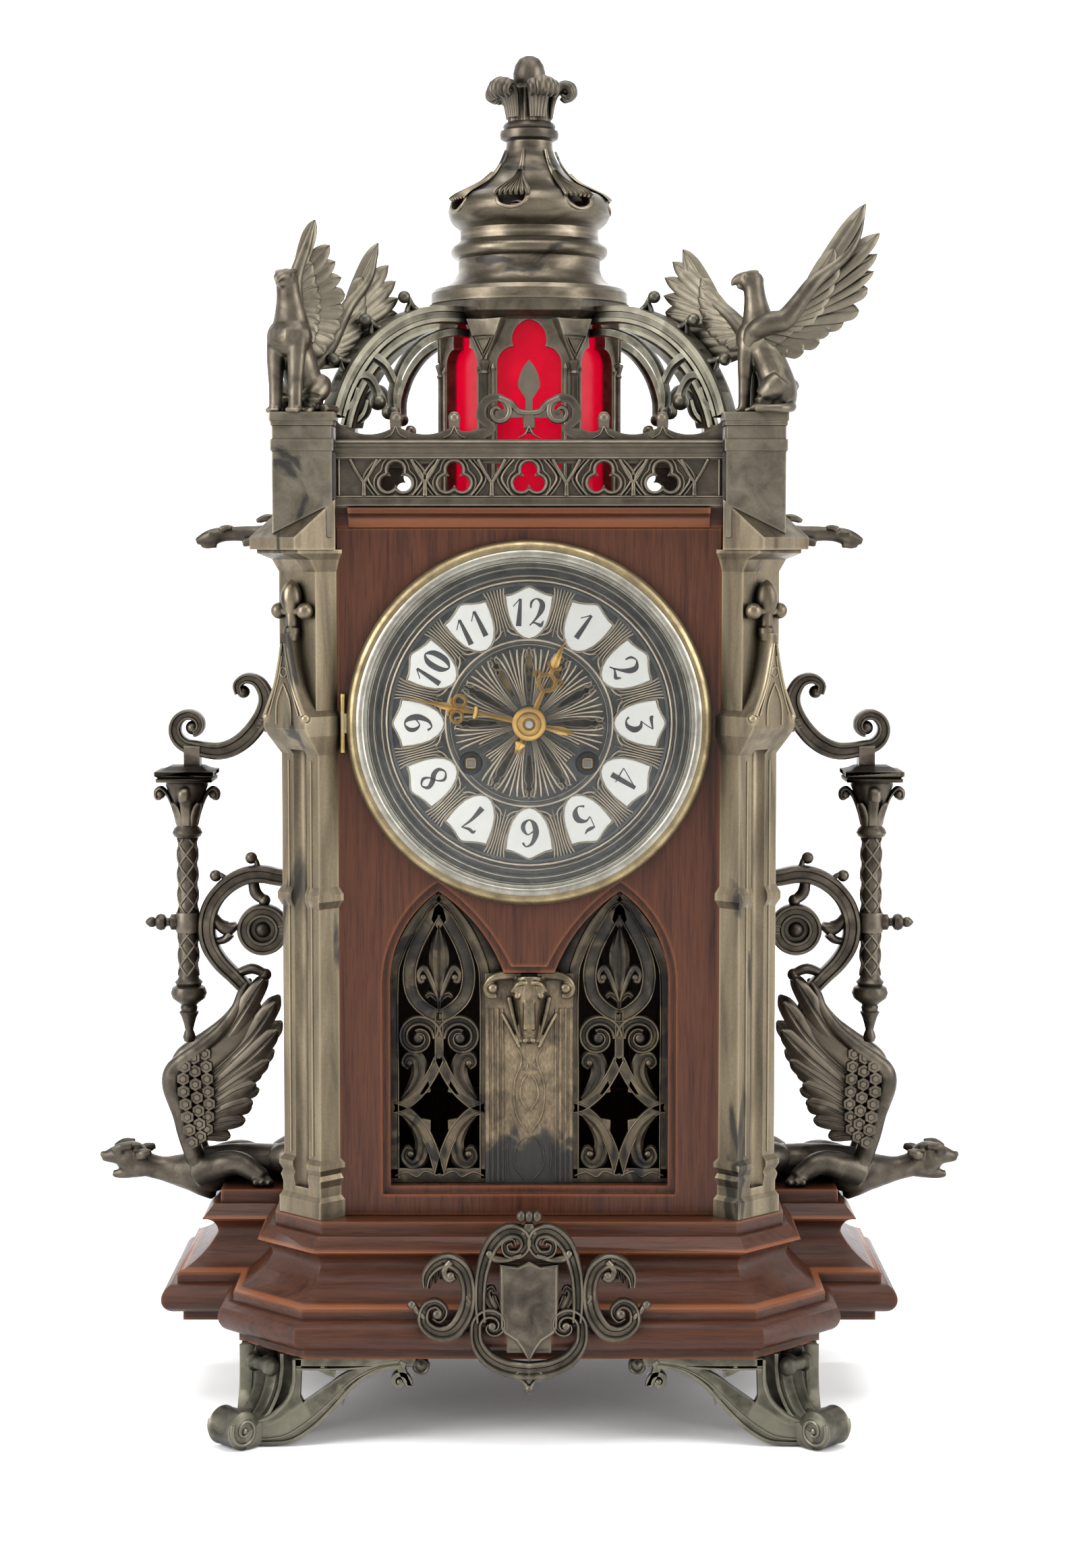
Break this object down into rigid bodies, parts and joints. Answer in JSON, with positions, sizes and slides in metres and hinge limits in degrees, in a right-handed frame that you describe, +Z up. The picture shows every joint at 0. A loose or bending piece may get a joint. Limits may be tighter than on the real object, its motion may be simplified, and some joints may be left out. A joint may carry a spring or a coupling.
{
  "type": "mantel clock",
  "caption": "Neo-Gothic chapel mantel clock: mahogany case with silvered mounts, round dial behind a hinged bezel, pierced gallery and red-glass lantern with a lift-off dome.",
  "frame": {"origin": "on the floor under the middle of the case", "axes": "+Z up, the dial faces -Y, +X to the viewer's right"},
  "size_m": [0.3796, 0.2259, 0.5775],
  "materials": {
    "mahogany": "french polished",
    "silvered_bronze": "tarnished silvering, satin",
    "dark_bronze": "dark patina, satin",
    "red_glass": "clear red",
    "silvered_dial": "silvered, satin",
    "enamel": "white enamel",
    "brass": "polished, a little worn",
    "clear_glass": "clear",
    "steel": "polished"
  },
  "bodies": {
    "case": {"plinth_base": "mahogany", "plinth_cavetto": "mahogany", "plinth_top_board": "mahogany", "front_panel": "mahogany", "case_side_right": "mahogany", "case_side_left": "mahogany", "case_back_frame": "mahogany", "case_cornice": "mahogany", "case_top_board": "mahogany", "buttress_rear_right": "silvered_bronze", "buttress_rear_left": "silvered_bronze", "buttress_front_right": "silvered_bronze", "buttress_front_left": "silvered_bronze", "foot_rear_right": "silvered_bronze", "foot_rear_left": "silvered_bronze", "foot_front_right": "silvered_bronze", "foot_front_left": "silvered_bronze", "corner_pedestals": "silvered_bronze", "flying_buttresses": "silvered_bronze", "gallery_front": "silvered_bronze", "gallery_rear": "silvered_bronze", "gallery_right": "silvered_bronze", "gallery_left": "silvered_bronze", "lantern_frame": "silvered_bronze", "gryphon_left": "silvered_bronze", "gryphon_right": "silvered_bronze", "waterspouts": "silvered_bronze", "cartouche": "silvered_bronze", "window_grille": "silvered_bronze", "ram_mask": "silvered_bronze", "torch_right": "dark_bronze", "torch_left": "dark_bronze", "side_scroll_right": "dark_bronze", "side_scroll_left": "dark_bronze", "gargoyle_right": "dark_bronze", "gargoyle_left": "dark_bronze", "lantern_glass": "red_glass", "dial_plate": "silvered_dial", "numeral_plaques": "enamel", "bezel_hinge_pin": "brass", "back_door_pivots": "brass", "movement_frame": "brass", "bell": "brass"},
    "bezel": {"bezel_rim": "brass", "bezel_ring": "silvered_dial", "dial_glass": "clear_glass"},
    "minute_train": {"centre_arbor": "steel", "minute_hand": "brass", "hand_nut": "brass"},
    "minute_wheel": {"minute_wheel": "brass"},
    "hour_train": {"hour_wheel": "brass", "hour_hand": "brass"},
    "going_barrel": {"going_barrel": "brass"},
    "strike_barrel": {"strike_barrel": "brass"},
    "pendulum": {"pendulum": "brass"},
    "hammer": {"hammer": "steel"},
    "rear_door": {"back_door": "mahogany", "back_door_knob": "brass"},
    "dome": {"dome": "silvered_bronze", "dome_finial": "silvered_bronze"}
  },
  "joints": [
    {"name": "bezel_hinge", "type": "hinge", "parent": "case", "child": "bezel", "pos_m": [-0.0764, -0.0776, 0.296], "axis": [0, 0, -1], "range_deg": [0, 100]},
    {"name": "minute_spin", "type": "hinge", "parent": "case", "child": "minute_train", "pos_m": [0, -0.0755, 0.296], "axis": [0, 1, 0], "continuous": true},
    {"name": "minute_wheel_spin", "type": "hinge", "parent": "case", "child": "minute_wheel", "pos_m": [0, -0.0755, 0.314], "axis": [0, 1, 0], "continuous": true},
    {"name": "hour_spin", "type": "hinge", "parent": "case", "child": "hour_train", "pos_m": [0, -0.0755, 0.296], "axis": [0, 1, 0], "continuous": true},
    {"name": "going_wind", "type": "hinge", "parent": "case", "child": "going_barrel", "pos_m": [0.024, -0.0755, 0.2795], "axis": [0, 1, 0], "continuous": true},
    {"name": "strike_wind", "type": "hinge", "parent": "case", "child": "strike_barrel", "pos_m": [-0.024, -0.0755, 0.2795], "axis": [0, 1, 0], "continuous": true},
    {"name": "pendulum_swing", "type": "hinge", "parent": "case", "child": "pendulum", "pos_m": [0, -0.0215, 0.34], "axis": [0, 1, 0], "range_deg": [-4, 4]},
    {"name": "hammer_swing", "type": "hinge", "parent": "case", "child": "hammer", "pos_m": [0.04, -0.0215, 0.274], "axis": [0, 1, 0], "range_deg": [0, 12], "stiffness_Nm_per_rad": 0.01, "springref_deg": -17.19},
    {"name": "rear_door_hinge", "type": "hinge", "parent": "case", "child": "rear_door", "pos_m": [0.052, 0.0788, 0.2], "axis": [0, 0, -1], "range_deg": [0, 120]},
    {"name": "dome_lift", "type": "slide", "parent": "case", "child": "dome", "axis": [0, 0, 1], "range_m": [0, 0.1]}
  ],
  "couplings": [
    {"joint": "minute_wheel_spin", "follows": "minute_spin", "ratio": -0.33333},
    {"joint": "hour_spin", "follows": "minute_spin", "ratio": 0.083333}
  ]
}
